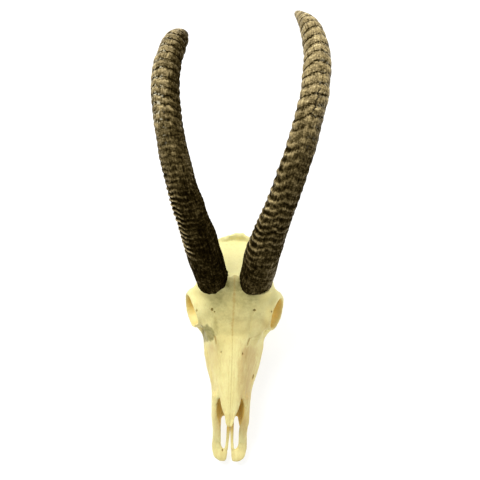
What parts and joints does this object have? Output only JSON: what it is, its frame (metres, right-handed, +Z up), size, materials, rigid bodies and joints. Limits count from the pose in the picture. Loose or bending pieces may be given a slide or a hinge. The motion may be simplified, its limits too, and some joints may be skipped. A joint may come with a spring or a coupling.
{
  "type": "roan antelope skull",
  "caption": "Cleaned skull of a roan antelope without its lower jaw, with both ringed horns sweeping up and back.",
  "frame": {"origin": "bottom centre of the bounding box, on the floor that the cheek teeth rest on", "axes": "+Z up, -Y towards the nose, +Y the way the horns sweep back, +X towards the skull's left side"},
  "size_m": [0.2866, 0.7453, 0.36],
  "materials": {
    "bone": "matte",
    "horn": "matte"
  },
  "bodies": {
    "root": {"cranium": "bone", "nasal_left": "bone", "nasal_right": "bone", "premaxilla_left": "bone", "premaxilla_right": "bone", "horn_left": "horn", "horn_right": "horn"}
  },
  "joints": []
}
